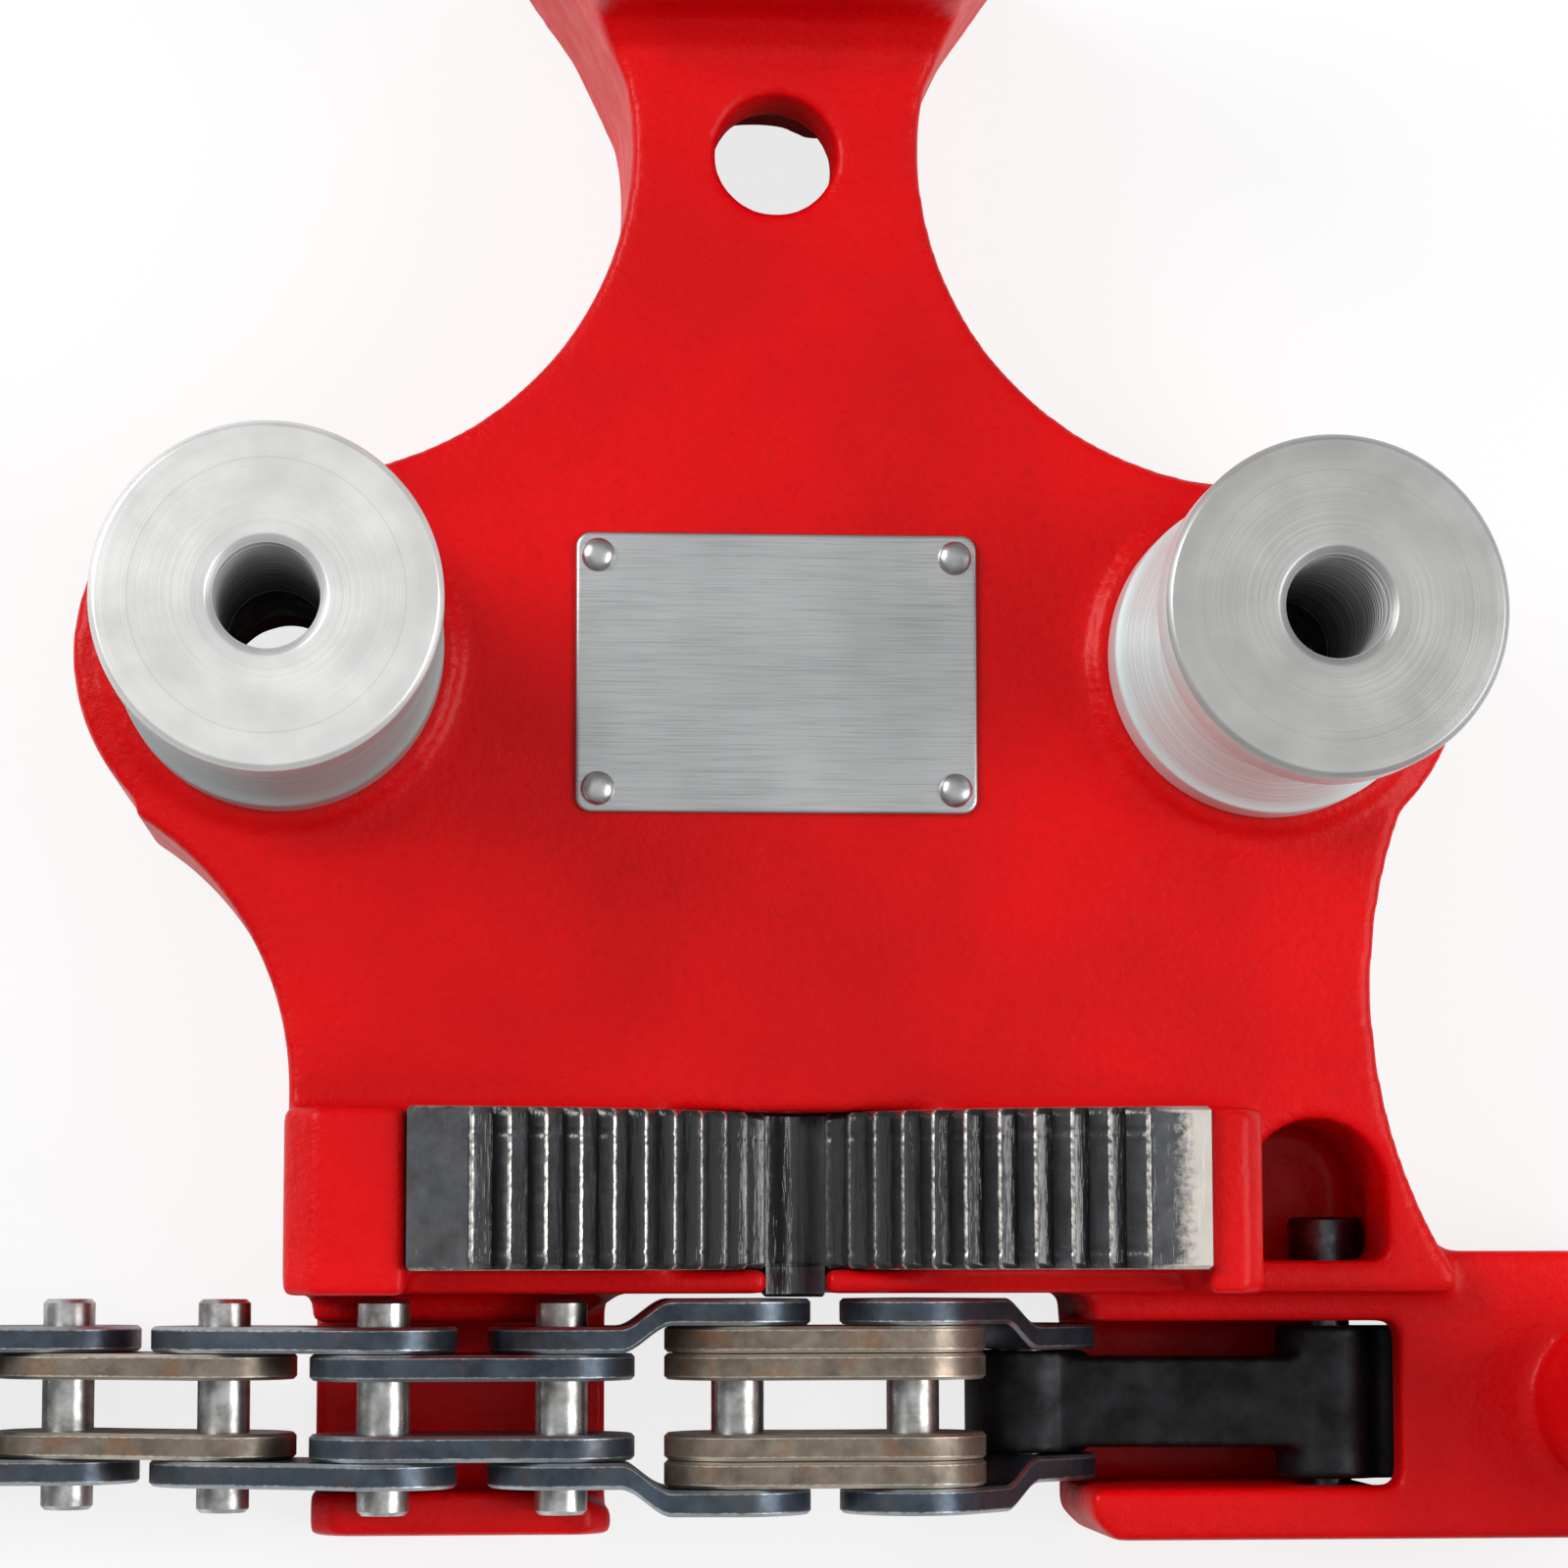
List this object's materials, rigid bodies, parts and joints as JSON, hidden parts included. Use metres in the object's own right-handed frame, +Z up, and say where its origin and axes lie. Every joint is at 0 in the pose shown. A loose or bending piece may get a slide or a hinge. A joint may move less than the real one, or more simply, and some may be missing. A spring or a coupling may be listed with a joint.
{
  "type": "chain pipe vise",
  "caption": "Bench chain pipe vise: red cast base with a toothed V jaw, two bending rollers, a rear pipe rest, and a plate chain drawn tight by a crank, screw and lever.",
  "frame": {"origin": "on the mounting plane under the base, midway between the two roller bolts", "axes": "+X to the right seen from the chain side, +Y from the chain side to the rear pipe rest, +Z up from the bench"},
  "size_m": [0.5941, 0.3259, 0.1686],
  "materials": {
    "red_paint": "gloss red enamel over sand-cast iron",
    "black_jaw": "oiled black-oxide tool steel with worn crests",
    "screw_steel": "plain machined steel",
    "turned_steel_light": "bright turned steel with lathe marks",
    "turned_steel_dark": "turned steel, slightly greyer",
    "brushed_plate": "brushed metal plate, bare",
    "rivet": "domed drive rivet",
    "forged_black": "black finish on a forging",
    "bronze": "sintered bronze",
    "black_oxide": "black-oxide cap screw",
    "pin_steel": "ground steel pin",
    "grip_black": "black moulded grip",
    "chain_plate": "blued and lightly rusted chain plate"
  },
  "bodies": {
    "root": {"base_casting": "red_paint", "base_arm": "red_paint", "base_horns": "red_paint", "vise_jaw": "black_jaw", "jaw_screws": "screw_steel", "roller_spigots": "screw_steel", "nameplate": "brushed_plate", "nameplate_rivets": "rivet", "lever_pin": "black_oxide", "thrust_washer": "screw_steel"},
    "roller_left_body": {"roller_left": "turned_steel_light"},
    "roller_right_body": {"roller_right": "turned_steel_dark"},
    "crank": {"chain_screw": "turned_steel_light", "screw_clip": "black_oxide", "crank_arm": "forged_black", "crank_roll_pin": "screw_steel", "grip_spindle": "screw_steel"},
    "grip": {"crank_grip": "grip_black"},
    "nut": {"trunnion_nut": "screw_steel"},
    "lever": {"tension_lever": "forged_black", "lever_bush": "bronze", "lever_chain_pin": "pin_steel"},
    "link_01": {"chain_link_01": "chain_plate", "chain_pin_01": "pin_steel"},
    "link_02": {"chain_link_02": "chain_plate", "chain_pin_02": "pin_steel"},
    "link_03": {"chain_link_03": "chain_plate", "chain_pin_03": "pin_steel"},
    "link_04": {"chain_link_04": "chain_plate", "chain_pin_04": "pin_steel"},
    "link_05": {"chain_link_05": "chain_plate", "chain_pin_05": "pin_steel"},
    "link_06": {"chain_link_06": "chain_plate", "chain_pin_06": "pin_steel"},
    "link_07": {"chain_link_07": "chain_plate", "chain_pin_07": "pin_steel"},
    "link_08": {"chain_link_08": "chain_plate", "chain_pin_08": "pin_steel"},
    "link_09": {"chain_link_09": "chain_plate", "chain_pin_09": "pin_steel"},
    "link_10": {"chain_link_10": "chain_plate", "chain_pin_10": "pin_steel"},
    "link_11": {"chain_link_11": "chain_plate", "chain_pin_11": "pin_steel"},
    "link_12": {"chain_link_12": "chain_plate", "chain_pin_12": "pin_steel"},
    "link_13": {"chain_link_13": "chain_plate", "chain_pin_13": "pin_steel"},
    "link_14": {"chain_link_14": "chain_plate", "chain_pin_14": "pin_steel"}
  },
  "joints": [
    {"name": "roller_left_turn", "type": "hinge", "parent": "root", "child": "roller_left_body", "pos_m": [-0.084, 0, 0.083], "axis": [0, 0, 1], "continuous": true},
    {"name": "roller_right_turn", "type": "hinge", "parent": "root", "child": "roller_right_body", "pos_m": [0.084, 0, 0.083], "axis": [0, 0, 1], "continuous": true},
    {"name": "crank_turn", "type": "hinge", "parent": "root", "child": "crank", "pos_m": [0.146, -0.127, 0.08], "axis": [0, 0, 1], "range_deg": [0, 1800]},
    {"name": "grip_spin", "type": "hinge", "parent": "crank", "child": "grip", "pos_m": [0.20728, -0.17842, 0.12], "axis": [0, 0, 1], "continuous": true},
    {"name": "nut_travel", "type": "slide", "parent": "root", "child": "nut", "axis": [0, 0, -1], "range_m": [0, 0.0175]},
    {"name": "lever_tilt", "type": "hinge", "parent": "root", "child": "lever", "pos_m": [0.098, -0.127, 0.026], "axis": [0, 1, 0], "range_deg": [0, 20.03]},
    {"name": "chain_joint_01", "type": "hinge", "parent": "lever", "child": "link_01", "pos_m": [0.046, -0.127, 0.0165], "axis": [0, 1, 0], "range_deg": [0, 15]},
    {"name": "chain_joint_02", "type": "hinge", "parent": "link_01", "child": "link_02", "pos_m": [0.02409, -0.127, 0.037], "axis": [0, -1, 0], "range_deg": [-40, 0]},
    {"name": "chain_joint_03", "type": "hinge", "parent": "link_02", "child": "link_03", "pos_m": [-0.0059, -0.127, 0.037], "axis": [0, 1, 0], "range_deg": [0, 40]},
    {"name": "chain_joint_04", "type": "hinge", "parent": "link_03", "child": "link_04", "pos_m": [-0.0359, -0.127, 0.037], "axis": [0, -1, 0], "range_deg": [-40, 0]},
    {"name": "chain_joint_05", "type": "hinge", "parent": "link_04", "child": "link_05", "pos_m": [-0.06591, -0.127, 0.037], "axis": [0, 1, 0], "range_deg": [-15, 40]},
    {"name": "chain_joint_06", "type": "hinge", "parent": "link_05", "child": "link_06", "pos_m": [-0.09333, -0.127, 0.02484], "axis": [0, -1, 0], "range_deg": [-40, 40]},
    {"name": "chain_joint_07", "type": "hinge", "parent": "link_06", "child": "link_07", "pos_m": [-0.12076, -0.127, 0.01269], "axis": [0, 1, 0], "range_deg": [-40, 40]},
    {"name": "chain_joint_08", "type": "hinge", "parent": "link_07", "child": "link_08", "pos_m": [-0.15076, -0.127, 0.01269], "axis": [0, -1, 0], "range_deg": [-40, 40]},
    {"name": "chain_joint_09", "type": "hinge", "parent": "link_08", "child": "link_09", "pos_m": [-0.18076, -0.127, 0.01269], "axis": [0, 1, 0], "range_deg": [-40, 40]},
    {"name": "chain_joint_10", "type": "hinge", "parent": "link_09", "child": "link_10", "pos_m": [-0.21076, -0.127, 0.01269], "axis": [0, -1, 0], "range_deg": [-40, 40]},
    {"name": "chain_joint_11", "type": "hinge", "parent": "link_10", "child": "link_11", "pos_m": [-0.24076, -0.127, 0.01269], "axis": [0, 1, 0], "range_deg": [-40, 40]},
    {"name": "chain_joint_12", "type": "hinge", "parent": "link_11", "child": "link_12", "pos_m": [-0.27076, -0.127, 0.01269], "axis": [0, -1, 0], "range_deg": [-40, 40]},
    {"name": "chain_joint_13", "type": "hinge", "parent": "link_12", "child": "link_13", "pos_m": [-0.30076, -0.127, 0.01269], "axis": [0, 1, 0], "range_deg": [-40, 40]},
    {"name": "chain_joint_14", "type": "hinge", "parent": "link_13", "child": "link_14", "pos_m": [-0.33076, -0.127, 0.01269], "axis": [0, -1, 0], "range_deg": [-40, 40]}
  ],
  "couplings": [
    {"joint": "nut_travel", "follows": "crank_turn", "m_per_rad": 0.00055704},
    {"joint": "lever_tilt", "follows": "crank_turn", "ratio": 0.011128}
  ]
}
